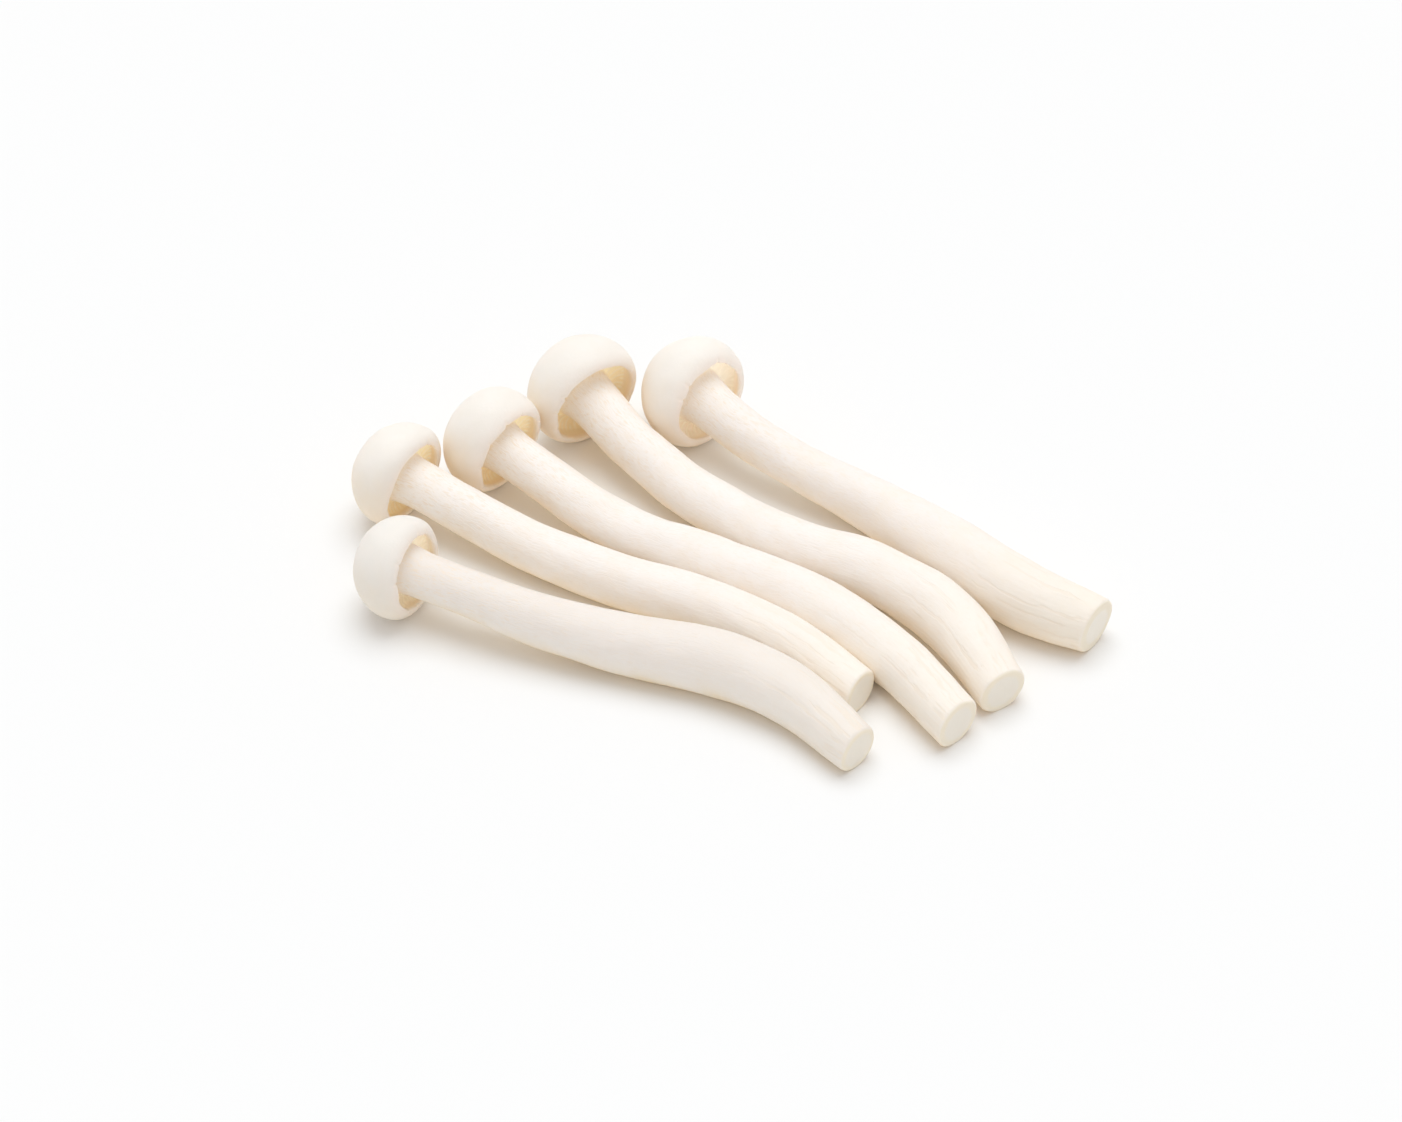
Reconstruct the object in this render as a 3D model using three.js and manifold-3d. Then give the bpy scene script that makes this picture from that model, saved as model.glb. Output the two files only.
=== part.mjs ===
// A bunch of five cut mushrooms with long stems and small domed caps, lying fanned out on a flat surface.
//
// Millimetres and degrees. +Z is up, the surface is z = 0, and +X runs along the bunch from the caps to
// the cut ends. Each mushroom grew as one piece: its cap, its gills and its stem are joined in one solid.

import * as THREE from "three";
import { mergeVertices } from "three/addons/utils/BufferGeometryUtils.js";
import Module from "manifold-3d";

// ---------------------------------------------------------------- driving dimensions

// One row for each mushroom, from the front of the bunch to the back.
//   cap.at      place of the cap's widest ring, in plan
//   cap.turn    direction in plan in which the cap opens, from +X towards +Y
//   cap.dip     how far the opening looks down, below level
//   cap.radius  radius of the widest ring
//   cap.dome    height of the dome behind the widest ring
//   cap.brow    how far the rolled margin stands in front of the widest ring
//   cap.mouth   radius of the opening
//   neck        radius of the stem where it leaves the flesh of the cap
//   stem        the rest of the stem's centre line: [x, y, lift above the surface, radius]
const MUSHROOMS = [
  {
    name: "mushroom_1",
    colour: 0xf1ebe0,
    cap: { at: [-28.4, -25.8], turn: 11, dip: -4, radius: 6.7, dome: 5.8, brow: 2.4, mouth: 4.8 },
    neck: 2.9,
    stem: [
      [-20.0, -24.3, 3.4, 3.0],
      [-9.2, -21.7, 1.8, 3.35],
      [1.8, -17.7, 0.2, 3.95],
      [13.9, -13.4, 0, 4.2],
      [24.3, -12.6, 0, 3.85],
      [35.5, -15.0, 0, 3.1],
    ],
  },
  {
    name: "mushroom_2",
    colour: 0xf5ecdd,
    cap: { at: [-40.6, -11.8], turn: 4, dip: 9, radius: 7.05, dome: 5.85, brow: 2.2, mouth: 5.3 },
    neck: 3.1,
    stem: [
      [-31.3, -10.9, 2.3, 3.15],
      [-19.7, -10.1, 0.8, 3.3],
      [-7.2, -8.0, 0, 3.5],
      [5.4, -4.9, 0, 3.45],
      [17.9, -4.25, 0, 3.3],
      [29.6, -6.2, 0, 3.0],
    ],
  },
  {
    name: "mushroom_3",
    colour: 0xf4e9d8,
    cap: { at: [-35.9, 1.1], turn: -2, dip: 9, radius: 7.2, dome: 5.6, brow: 3.4, mouth: 5.4 },
    neck: 3.2,
    stem: [
      [-25.7, 0.5, 2.2, 3.15],
      [-12.4, -0.1, 0.6, 3.35],
      [1.7, 2.2, 0, 3.55],
      [15.5, 3.2, 0, 3.7],
      [29.8, 0.8, 0, 3.65],
      [42.6, -3.9, 0, 3.35],
    ],
  },
  {
    name: "mushroom_4",
    colour: 0xf5ebda,
    cap: { at: [-32.4, 16.1], turn: -15, dip: 10, radius: 7.8, dome: 6.7, brow: 2.9, mouth: 6.1 },
    neck: 3.5,
    stem: [
      [-22.0, 13.2, 2.3, 3.35],
      [-9.8, 11.0, 0.7, 3.5],
      [4.5, 10.7, 0, 3.65],
      [19.0, 12.8, 0, 3.85],
      [31.2, 10.7, 0, 4.1],
      [43.6, 4.4, 0, 3.35],
    ],
  },
  {
    name: "mushroom_5",
    colour: 0xf3e8cf,
    cap: { at: [-20.0, 24.9], turn: -8, dip: -1, radius: 7.6, dome: 7.4, brow: 2.7, mouth: 5.55 },
    neck: 3.4,
    stem: [
      [-10.5, 23.1, 3.4, 3.1],
      [-0.4, 23.2, 1.8, 3.15],
      [11.3, 23.6, 0.2, 3.7],
      [22.6, 22.1, 0, 4.25],
      [36.7, 20.0, 0, 4.4],
      [46.3, 21.4, 0, 3.7],
    ],
  },
];

// Flesh of the cap
const MARGIN_WALL = 1.4; // thickness of the rolled margin at the widest ring
const MARGIN_ROUND = 0.35; // half the width of the margin's rounded rim
const ROOF_DEPTH = 0.3; // the hollow goes this share of the cap's radius behind the widest ring

// Gills: thin upright blades between the stem and the margin, hung from the roof of the hollow
const GILLS = 18;
const GILL_THICKNESS = 0.6;
const GILL_ROOT = 0.5; // how far each blade is sunk into the flesh round it
const GILL_SHOULDER = 1.7; // the blades stop this far behind the rim of the margin

// Cut end of the stem
const CUT_BEVEL = 0.4;

// The bunch presses this far into the surface, which leaves the small flats that it rests on.
const SETTLE = 0.15;
const SLAB = 200; // size of the block that cuts those flats

// Fineness of the facets
const CAP_SIDES = 36;
const DOME_STEPS = 7;
const BROW_STEPS = 3;
const STEM_SIDES = 16;
const STEM_STEPS = 24;

// ---------------------------------------------------------------- solids

const wasm = await Module();
wasm.setup();

const rad = THREE.MathUtils.degToRad;

// A closed three.js geometry as a solid that can be joined and cut
function toSolid(geometry) {
  const bare = geometry.clone();
  bare.deleteAttribute("normal");
  bare.deleteAttribute("uv");
  const merged = mergeVertices(bare, 1e-4);
  const vertProperties = new Float32Array(merged.attributes.position.array);
  const triVerts = new Uint32Array(merged.index.array);
  return new wasm.Manifold(new wasm.Mesh({ numProp: 3, vertProperties, triVerts }));
}

// The joined and cut solid as a three.js geometry
function toGeometry(solid) {
  const { vertProperties, triVerts } = solid.getMesh();
  const geometry = new THREE.BufferGeometry();
  geometry.setAttribute("position", new THREE.BufferAttribute(vertProperties, 3));
  geometry.setIndex(new THREE.BufferAttribute(triVerts, 1));
  geometry.computeVertexNormals();
  return geometry;
}

// ---------------------------------------------------------------- cap

// Half section of the cap, as distance from the axis and height along it. The axis points out of the mouth.
function capSection({ radius, dome, brow, mouth }) {
  const points = [];
  for (let i = 0; i <= DOME_STEPS; i++) {
    const angle = (Math.PI / 2) * (i / DOME_STEPS);
    points.push(new THREE.Vector2(radius * Math.sin(angle), -dome * Math.cos(angle)));
  }
  const crest = mouth + MARGIN_ROUND;
  for (let i = 1; i <= BROW_STEPS; i++) {
    const angle = (Math.PI / 2) * (i / BROW_STEPS);
    points.push(new THREE.Vector2(crest + (radius - crest) * Math.cos(angle), brow * Math.sin(angle)));
  }
  points.push(new THREE.Vector2(mouth, brow - MARGIN_ROUND));
  points.push(new THREE.Vector2(radius - MARGIN_WALL, 0));
  const roof = -ROOF_DEPTH * radius;
  points.push(new THREE.Vector2(radius - 1.6 * MARGIN_WALL, roof));
  points.push(new THREE.Vector2(0, roof));
  return points;
}

// One gill's outline in the same half section, from inside the stem to inside the margin
function gillOutline({ radius, brow }, neck) {
  const inner = neck - 2 * GILL_ROOT;
  const outer = radius - MARGIN_WALL + GILL_ROOT;
  const top = -ROOF_DEPTH * radius - GILL_ROOT;
  const edge = brow - GILL_SHOULDER;
  return new THREE.Shape([
    new THREE.Vector2(inner, top),
    new THREE.Vector2(outer - GILL_ROOT, top),
    new THREE.Vector2(outer, edge - 1.2),
    new THREE.Vector2((inner + outer) / 2, edge),
    new THREE.Vector2(inner, edge - 0.4),
  ]);
}

function capSolid(cap, neck) {
  const pieces = [toSolid(new THREE.LatheGeometry(capSection(cap), CAP_SIDES))];
  for (let i = 0; i < GILLS; i++) {
    const blade = new THREE.ExtrudeGeometry(gillOutline(cap, neck), {
      depth: GILL_THICKNESS,
      bevelEnabled: false,
    });
    blade.translate(0, 0, -GILL_THICKNESS / 2);
    blade.rotateY((2 * Math.PI * (i + 0.5)) / GILLS);
    pieces.push(toSolid(blade));
  }
  return wasm.Manifold.union(pieces);
}

// Turns the cap's axis from +Y to the way that the cap opens, and lowers it onto the surface
function capPlacement(cap) {
  const opens = new THREE.Vector3(
    Math.cos(rad(cap.turn)) * Math.cos(rad(cap.dip)),
    Math.sin(rad(cap.turn)) * Math.cos(rad(cap.dip)),
    -Math.sin(rad(cap.dip)),
  );
  const turn = new THREE.Quaternion().setFromUnitVectors(new THREE.Vector3(0, 1, 0), opens);
  const placement = new THREE.Matrix4().makeRotationFromQuaternion(turn);
  const outside = new THREE.LatheGeometry(capSection(cap), CAP_SIDES).applyMatrix4(placement);
  outside.computeBoundingBox();
  return placement.setPosition(cap.at[0], cap.at[1], -SETTLE - outside.boundingBox.min.z);
}

// ---------------------------------------------------------------- stem

// A straight bar of unit radius and unit length along +Y, with a bevelled far end, bent along its centre line
function stemSolid(points, radii) {
  const length = new THREE.CatmullRomCurve3(points).getLength();
  const bevel = CUT_BEVEL / length;
  const tip = radii[radii.length - 1];
  const section = [new THREE.Vector2(0, 0)];
  for (let i = 0; i <= STEM_STEPS; i++) {
    section.push(new THREE.Vector2(1, (1 - bevel) * (i / STEM_STEPS)));
  }
  section.push(new THREE.Vector2(1 - CUT_BEVEL / tip, 1));
  section.push(new THREE.Vector2(0, 1));
  const bar = new THREE.LatheGeometry(section, STEM_SIDES);

  const line = new THREE.CatmullRomCurve3(points);
  const girth = new THREE.SplineCurve(radii.map((radius, i) => new THREE.Vector2(i, radius)));
  const up = new THREE.Vector3(0, 0, 1);
  const position = bar.attributes.position;
  const vertex = new THREE.Vector3();
  for (let i = 0; i < position.count; i++) {
    vertex.fromBufferAttribute(position, i);
    const along = THREE.MathUtils.clamp(vertex.y, 0, 1);
    const radius = girth.getPoint(along).y;
    const forward = line.getTangent(along);
    const left = new THREE.Vector3().crossVectors(up, forward).normalize();
    const over = new THREE.Vector3().crossVectors(forward, left);
    const place = line.getPoint(along);
    place.addScaledVector(left, vertex.z * radius);
    place.addScaledVector(over, vertex.x * radius);
    position.setXYZ(i, place.x, place.y, place.z);
  }
  return toSolid(bar);
}

// ---------------------------------------------------------------- the bunch

const slab = toSolid(new THREE.BoxGeometry(SLAB, SLAB, SLAB).translate(0, 0, -SLAB / 2));

function mushroom({ name, colour, cap, neck, stem }) {
  const placement = capPlacement(cap);
  const centre = new THREE.Vector3().setFromMatrixPosition(placement);
  const points = [centre, ...stem.map(([x, y, lift, radius]) => new THREE.Vector3(x, y, lift + radius - SETTLE))];
  const radii = [neck, ...stem.map(([, , , radius]) => radius)];
  const grown = capSolid(cap, neck).transform(placement.elements).add(stemSolid(points, radii));
  const rested = grown.subtract(slab);
  const material = new THREE.MeshStandardMaterial({ color: colour, roughness: 0.7, metalness: 0 });
  const mesh = new THREE.Mesh(toGeometry(rested), material);
  mesh.name = name;
  return mesh;
}

const bunch = new THREE.Group();
for (const row of MUSHROOMS) {
  bunch.add(mushroom(row));
}

export default bunch;
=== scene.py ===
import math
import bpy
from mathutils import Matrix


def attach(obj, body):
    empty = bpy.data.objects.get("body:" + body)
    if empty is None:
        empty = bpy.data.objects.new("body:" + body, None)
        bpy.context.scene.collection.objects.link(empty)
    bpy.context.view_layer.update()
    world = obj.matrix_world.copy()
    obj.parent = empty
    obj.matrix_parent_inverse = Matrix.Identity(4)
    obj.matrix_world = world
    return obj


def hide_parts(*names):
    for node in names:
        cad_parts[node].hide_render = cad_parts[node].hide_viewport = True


bl_info = {
    "name": "Enoki mushroom bunch",
    "version": (1, 0, 0),
    "blender": (4, 5, 0),
    "location": "3D View > Sidebar > Mushrooms",
    "description": "Grows and lights five cut white mushrooms that lie side by side",
    "category": "Add Mesh",
}

import bmesh
import bpy
import numpy as np
from mathutils import Vector

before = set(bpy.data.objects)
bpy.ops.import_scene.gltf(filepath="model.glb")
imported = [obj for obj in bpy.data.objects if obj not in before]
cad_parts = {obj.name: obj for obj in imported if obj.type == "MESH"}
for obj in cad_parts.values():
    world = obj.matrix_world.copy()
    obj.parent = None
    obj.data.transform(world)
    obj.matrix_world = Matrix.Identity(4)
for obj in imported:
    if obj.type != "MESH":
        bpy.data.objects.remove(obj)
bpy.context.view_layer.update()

MM = 0.001

# ---------------------------------------------------------------- the five mushrooms

# In millimetres and degrees, from the front of the bunch to the back
#   at, turn, dip               place of the cap's widest ring in plan, the way its mouth looks in plan, and
#                               how far down it looks
#   radius, dome, brow, mouth   the widest ring, the dome behind it, the rolled margin before it, and the
#                               opening
#   neck                        radius of the stem inside the cap
#   stem                        the rest of its centre line, as x, y, lift above the surface, radius
#   cut_turn                    how far the knife's cut is turned from square to the stem
#   gills_back                  how far the gills' edges lie behind the rim of the margin
#   slot                        the finish that the mushroom takes
MUSHROOMS = {
    "mushroom_1": {
        "cap": {
            "at": (-28.4, -25.8),
            "turn": 11,
            "dip": -4,
            "radius": 6.7,
            "dome": 5.8,
            "brow": 2.4,
            "mouth": 4.8,
        },
        "neck": 2.9,
        "stem": (
            (-20.0, -24.3, 3.4, 3.0),
            (-9.2, -21.7, 1.8, 3.35),
            (1.8, -17.7, 0.2, 3.95),
            (13.9, -13.4, 0, 4.2),
            (24.3, -12.6, 0, 3.85),
            (35.5, -15.0, 0, 3.1),
        ),
        "cut_turn": 6,
        "gills_back": 1.3,
        "slot": "white_flesh",
    },
    "mushroom_2": {
        "cap": {
            "at": (-40.6, -11.8),
            "turn": 4,
            "dip": 9,
            "radius": 7.05,
            "dome": 5.85,
            "brow": 2.2,
            "mouth": 5.3,
        },
        "neck": 3.1,
        "stem": (
            (-31.3, -10.9, 2.3, 3.15),
            (-19.7, -10.1, 0.8, 3.3),
            (-7.2, -8.0, 0, 3.5),
            (5.4, -4.9, 0, 3.45),
            (17.9, -4.25, 0, 3.3),
            (29.6, -6.2, 0, 3.0),
        ),
        "cut_turn": 10,
        "gills_back": 1.2,
        "slot": "cream_flesh",
    },
    "mushroom_3": {
        "cap": {
            "at": (-35.9, 1.1),
            "turn": -2,
            "dip": 9,
            "radius": 7.2,
            "dome": 5.6,
            "brow": 3.4,
            "mouth": 5.4,
        },
        "neck": 3.2,
        "stem": (
            (-25.7, 0.5, 2.2, 3.15),
            (-12.4, -0.1, 0.6, 3.35),
            (1.7, 2.2, 0, 3.55),
            (15.5, 3.2, 0, 3.7),
            (29.8, 0.8, 0, 3.65),
            (42.6, -3.9, 0, 3.35),
        ),
        "cut_turn": 12,
        "gills_back": 1.5,
        "slot": "cream_flesh",
    },
    "mushroom_4": {
        "cap": {
            "at": (-32.4, 16.1),
            "turn": -15,
            "dip": 10,
            "radius": 7.8,
            "dome": 6.7,
            "brow": 2.9,
            "mouth": 6.1,
        },
        "neck": 3.5,
        "stem": (
            (-22.0, 13.2, 2.3, 3.35),
            (-9.8, 11.0, 0.7, 3.5),
            (4.5, 10.7, 0, 3.65),
            (19.0, 12.8, 0, 3.85),
            (31.2, 10.7, 0, 4.1),
            (43.6, 4.4, 0, 3.35),
        ),
        "cut_turn": 7,
        "gills_back": 1.95,
        "slot": "cream_flesh",
    },
    "mushroom_5": {
        "cap": {
            "at": (-20.0, 24.9),
            "turn": -8,
            "dip": -1,
            "radius": 7.6,
            "dome": 7.4,
            "brow": 2.7,
            "mouth": 5.55,
        },
        "neck": 3.4,
        "stem": (
            (-10.5, 23.1, 3.4, 3.1),
            (-0.4, 23.2, 1.8, 3.15),
            (11.3, 23.6, 0.2, 3.7),
            (22.6, 22.1, 0, 4.25),
            (36.7, 20.0, 0, 4.4),
            (46.3, 21.4, 0, 3.7),
        ),
        "cut_turn": -8,
        "gills_back": 1.5,
        "slot": "ivory_flesh",
    },
}

SETTLE = 0.15  # how far each mushroom presses into the surface, which leaves its flats
MARGIN_WALL = 1.4  # flesh of the rolled margin at the widest ring
MARGIN_ROUND = 0.24  # radius of the margin's inner edge
GILL_HEIGHT = 0.22  # height of a gill over the flesh between it and the next
NECK_FLARE = 1.0  # how far the stem spreads where it joins the gills
NECK_FLARE_LENGTH = 1.8  # over how much of the stem the flare dies away
FLARE_SIDE = 135  # the side of the neck that flares, in degrees from its left towards its top
BARE_SHARE = 0.85  # share of the flare that the opposite side lacks
DEEPER_BELOW = 0.5  # how much deeper the hollow goes on its lower side
CUT_ROUND = 0.45  # radius of the softened edge of the cut
BEND_LENGTH = 4  # over how much of the stem it leaves the cap's own direction
TAIL_START = 0.55  # share of the stem's length where its rougher tail begins
STEPS_A_GILL = 7  # steps round the cap for each gill
STEM_RING_SPACING = 0.5
REST_STEPS = 90  # steps over the dome and over the brow when the lowest part of a cap is looked for
FIRST_SEED = 100
JOIN_DISTANCE = 1e-7  # in metres, between points of a rolled sheet that are one point of the skin


# ---------------------------------------------------------------- curves


def smooth(low, high, value):
    """A soft step from 0 at low to 1 at high."""
    share = np.clip((value - low) / (high - low), 0, 1)
    return share * share * (3 - 2 * share)


class CentreLine:
    """A centripetal Catmull-Rom curve through the stem's points, measured along its length."""

    SAMPLES = 600

    def __init__(self, points, radii):
        self.points = np.array(points, float)
        self.radii = np.array(radii, float)
        share = np.linspace(0, 1, self.SAMPLES)
        self.line = self.curve(self.points, share, centripetal=True)
        index = np.arange(len(radii), dtype=float)
        girth = np.stack([index, self.radii], 1)
        self.girth = self.curve(girth, share, centripetal=False)[:, 1]
        gaps = np.linalg.norm(np.diff(self.line, axis=0), axis=1)
        self.distance = np.concatenate([[0], np.cumsum(gaps)])
        self.length = self.distance[-1]
        way = np.gradient(self.line, self.distance, axis=0)
        self.way = way / np.linalg.norm(way, axis=1)[:, None]

    @staticmethod
    def curve(points, share, centripetal):
        before = 2 * points[0] - points[1]
        after = 2 * points[-1] - points[-2]
        all_points = np.concatenate([[before], points, [after]])
        spans = len(points) - 1
        at = np.clip(share * spans, 0, spans - 1e-9)
        first = at.astype(int)
        w = (at - first)[:, None]
        p0, p1, p2, p3 = (all_points[first + k] for k in range(4))
        if centripetal:
            pairs = ((p0, p1), (p1, p2), (p2, p3))
            d0, d1, d2 = (np.linalg.norm(b - a, axis=1)[:, None] ** 0.5 for a, b in pairs)
            t1 = ((p1 - p0) / d0 - (p2 - p0) / (d0 + d1) + (p2 - p1) / d1) * d1
            t2 = ((p2 - p1) / d1 - (p3 - p1) / (d1 + d2) + (p3 - p2) / d2) * d1
        else:
            t1 = (p2 - p0) / 2
            t2 = (p3 - p1) / 2
        return p1 + t1 * w + (3 * (p2 - p1) - 2 * t1 - t2) * w**2 + (2 * (p1 - p2) + t1 + t2) * w**3

    def read(self, column, along):
        return np.interp(along, self.distance, column)

    def radius(self, along):
        return self.read(self.girth, along)

    def frames(self, along):
        """Place and three directions (left, over, forward) at each distance, straight on before 0."""
        place = np.stack([self.read(self.line[:, k], along) for k in range(3)], 1)
        forward = np.stack([self.read(self.way[:, k], along) for k in range(3)], 1)
        forward /= np.linalg.norm(forward, axis=1)[:, None]
        place += forward * np.minimum(along, 0)[:, None]
        left, over = sideways(forward)
        return place, left, over, forward


def sideways(forward):
    """The level direction to the left of each forward direction, and the one above it."""
    left = np.cross((0.0, 0.0, 1.0), forward)
    left /= np.linalg.norm(left, axis=-1, keepdims=True)
    return left, np.cross(forward, left)


# ---------------------------------------------------------------- the straight mushroom's half section

DOME_RINGS = 28
BROW_RINGS = 16
RIM_RINGS = 6
WALL_RINGS = 8
ROOF_RINGS = 28
CUT_RINGS = 6
FACE_RINGS = 8

# The three curves in the hollow, in millimetres
SHOULDER_IN = 0.15  # the gills begin this far in from the wall of the margin
FOOT_BACK = 0.1  # and end on the neck this far behind where they begin
WALL_HANDLES = ((0.0, 0.85), (0.05, 0.75))  # in from the mouth and from the wall, and behind the rim
EDGE_HANDLES = ((0.3, 0.25), (0.5, 0.2))  # in from the wall and out from the foot, and behind each
ROOT_HANDLE = (0.1, 0.2)  # in from the wall or out from the foot, and behind the gills' edges
ROOT_DEPTH = GILL_HEIGHT * 4 / 3  # a curve goes only three quarters of the way to two level handles
HALF_HOLLOW = 0.5  # how deep in the hollow its two ends count, where 1 is the middle
NECK_SHADE_LENGTH = 0.9  # over how much of the stem the hollow's colour, a painted shade on the neck, dies away
RIM_SHARPNESS = 8  # how closely the rim keeps to the edge of the brow

# What is known at each ring, from the top of the cap round to the middle of the cut end:
#   radius, height            place of the ring, from the axis and along it
#   edge_radius, edge_height  where the ring goes on a gill's edge
#   hollow                    0 on the skin, 1 deep between the gills
#   rim                       1 on the rim of the mouth
#   reach                     along a gill, 0 at the margin and 1 at the neck
#   flare                     how far the ring takes part in the neck's flare, 0 to 1
#   stem, cut                 1 on the stem, and 1 on its cut face
COLUMNS = (
    "radius",
    "height",
    "edge_radius",
    "edge_height",
    "hollow",
    "rim",
    "reach",
    "flare",
    "stem",
    "cut",
)


def arc(steps, first=0):
    for i in range(first, steps + 1):
        yield math.radians(90) * i / steps


def bezier(points, share):
    a, b, c, d = (np.array(p, float) for p in points)
    back = 1 - share
    return a * back**3 + 3 * b * back**2 * share + 3 * c * back * share**2 + d * share**3


def straight_section(cap, neck, line, gills_back):
    """The half outline of the mushroom as if it had grown straight, one column for each of COLUMNS."""
    rings = []

    def ring(radius, height, edge=None, **more):
        values = {"radius": radius, "height": height, **more}
        values["edge_radius"], values["edge_height"] = (radius, height) if edge is None else edge
        rings.append([values.get(column, 0.0) for column in COLUMNS])

    radius, dome, brow, mouth = (cap[k] for k in ("radius", "dome", "brow", "mouth"))
    crest = mouth + MARGIN_ROUND
    for angle in arc(DOME_RINGS):
        ring(radius * math.sin(angle), -dome * math.cos(angle))
    for angle in arc(BROW_RINGS, first=1):
        out = crest + (radius - crest) * math.cos(angle)
        ring(out, brow * math.sin(angle), rim=math.sin(angle) ** RIM_SHARPNESS)
    for angle in arc(RIM_RINGS, first=1):
        out = crest - MARGIN_ROUND * math.sin(angle)
        ring(out, brow - MARGIN_ROUND * (1 - math.cos(angle)), rim=1.0)
    # The hollow: in behind the rim, round under the roof, and out along the neck
    inner = radius - MARGIN_WALL
    level = brow - gills_back
    rim_end = (mouth, brow - MARGIN_ROUND)
    shoulder = (inner - SHOULDER_IN, level)
    foot = (neck + NECK_FLARE, level - FOOT_BACK)
    (near_in, near_back), (far_in, far_back) = WALL_HANDLES
    wall = (rim_end, (mouth - near_in, brow - near_back), (inner - far_in, brow - far_back), shoulder)
    for i in range(1, WALL_RINGS):
        share = i / WALL_RINGS
        ring(*bezier(wall, share), hollow=HALF_HOLLOW * share, rim=(1 - share) ** 2)
    (wall_in, wall_back), (foot_out, foot_back) = EDGE_HANDLES
    edge = (shoulder, (inner - wall_in, level - wall_back), (foot[0] + foot_out, foot[1] - foot_back), foot)
    aside, back = ROOT_HANDLE
    root = level - back - ROOT_DEPTH
    deep = (shoulder, (inner - aside, root), (foot[0] + aside, root), foot)
    for i in range(ROOF_RINGS + 1):
        share = i / ROOF_RINGS
        hollow = HALF_HOLLOW + (1 - HALF_HOLLOW) * math.sin(math.pi * share)
        ring(*bezier(deep, share), edge=bezier(edge, share), hollow=hollow, reach=share, flare=share)
    # The stem, with its neck flared a little where it meets the gills
    start = foot[1]
    end = line.length - CUT_ROUND
    count = round((end - start) / STEM_RING_SPACING)
    for i in range(1, count + 1):
        height = start + (end - start) * i / count
        flare = math.exp(-(height - start) / NECK_FLARE_LENGTH)
        # The neck just below the gills takes part of the hollow's colour, a painted shade
        hollow = HALF_HOLLOW * math.exp(-(height - start) / NECK_SHADE_LENGTH)
        out = line.radius(height) + NECK_FLARE * flare
        ring(out, height, hollow=hollow, reach=1.0, flare=flare, stem=1.0)
    tip = line.radius(line.length)
    for angle in arc(CUT_RINGS, first=1):
        out = tip - CUT_ROUND * (1 - math.cos(angle))
        ring(out, end + CUT_ROUND * math.sin(angle), stem=1.0, cut=math.sin(angle) ** 2)
    for i in range(1, FACE_RINGS + 1):
        ring((tip - CUT_ROUND) * (1 - i / FACE_RINGS), line.length, stem=1.0, cut=1.0)
    return dict(zip(COLUMNS, np.array(rings, float).T))


# ---------------------------------------------------------------- relief

# Fields of waves: the number of waves that are summed, how often one goes round the axis, and its length
# along the axis in millimetres. The first number, where there are four, is the height in millimetres
CAP_SWELLINGS = (0.07, 6, (1, 4), (8, 20))
CAP_DENTS = (0.018, 14, (5, 13), (3, 9))
STEM_SWELLINGS = (0.06, 6, (1, 3), (9, 26))
STEM_DENTS = (0.022, 14, (3, 9), (4, 14))
KNIFE_MARKS = (0.035, 5, (1, 4), (3, 9))
MOUTH_WAVES = (7, (2, 9), (9, 10))
FIBRE_RIDGES = (26, (9, 46), (5, 30))

KNIFE_MARK_CROWDING = 3  # how much closer the knife's marks lie across the face than those lengths say
MOUTH_OUT, MOUTH_BACK = 0.07, 0.04  # how far a wave moves the rim outwards and back
NICK_OUT, NICK_BACK = 0.12, 0.2  # and how far a nick does
NICK_WIDTH = (0.03, 0.08)  # half the angle of a nick, narrowest and widest
NICK_DEPTH = (0.4, 1)
RIDGES_BEFORE, RIDGES_MORE = 0.25, 0.3  # share of the fibre ridges up to the tail, and what the tail adds
SKIN_END = 0.1  # how deep in the hollow the relief of the cap's skin has died away
POLE_CALM = 1.5  # that relief dies away within this radius of the cap's pole
FACE_CALM = 1  # and the knife's marks within this radius of the middle of the cut
NECK_CALM = 3  # the stem's relief begins over this distance from the cap
CUT_SLANT_LENGTH = 5  # over how much of the stem the slant of the cut dies away
BARE_SIDE = (-0.75, 0.25)  # from the flare's side to the bare side, as minus the cosine between them
LOWER_SIDE = (-0.35, 0.75)  # from the top to the lower side, as minus the height on the unit circle

# Gills, across in shares of the distance from one to the next, and along in shares of the roof
GILL_WANDER = 0.06
GILL_FLANK = (0.14, 0.3)
SHORT_GILL_END = (0.3, 0.55)
SHORT_GILL_SLOPE = 0.2
LOWEST_GILL = 0.86


def ripple(rng, angle, along, waves, turns, wavelength):
    """A smooth random field on the surface: a sum of waves that close round the axis."""
    total = np.zeros_like(angle)
    for _ in range(waves):
        around = rng.integers(turns[0], turns[1] + 1)
        pitch = math.tau / rng.uniform(*wavelength)
        total += np.sin(around * angle + rng.choice((-1, 1)) * pitch * along + rng.uniform(0, math.tau))
    return total / math.sqrt(waves)


def relief(rng, angle, along, share, height, *field):
    """A field of waves at its own height, on the share of the surface that takes it."""
    return height * share * ripple(rng, angle, along, *field)


def gill_share(rng, angle, reach, gills):
    """0 between the gills and 1 on their edges. Every second gill is a short one, at the margin only."""
    pitch = angle / math.tau * gills
    number = np.floor(pitch).astype(int) % gills
    wander = rng.uniform(-GILL_WANDER, GILL_WANDER, gills)
    across = np.abs(pitch - np.floor(pitch) - 0.5 - wander[number])
    blade = 1 - smooth(*GILL_FLANK, across)
    short_reach = rng.uniform(*SHORT_GILL_END, gills)[number]
    short = 1 - smooth(short_reach - SHORT_GILL_SLOPE, short_reach, reach)
    tall = rng.uniform(LOWEST_GILL, 1.0, gills)[number]
    return blade * tall * np.where(number % 2 == 0, 1.0, short)


def nick_share(rng, angle, nicks):
    """Narrow V-shaped nicks in the rim of the mouth."""
    total = np.zeros_like(angle)
    for _ in range(nicks):
        at = rng.uniform(-math.pi, math.pi)
        width = rng.uniform(*NICK_WIDTH)
        away = np.abs(np.angle(np.exp(1j * (angle - at))))
        total = np.maximum(total, rng.uniform(*NICK_DEPTH) * np.clip(1 - away / width, 0, 1))
    return total


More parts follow.
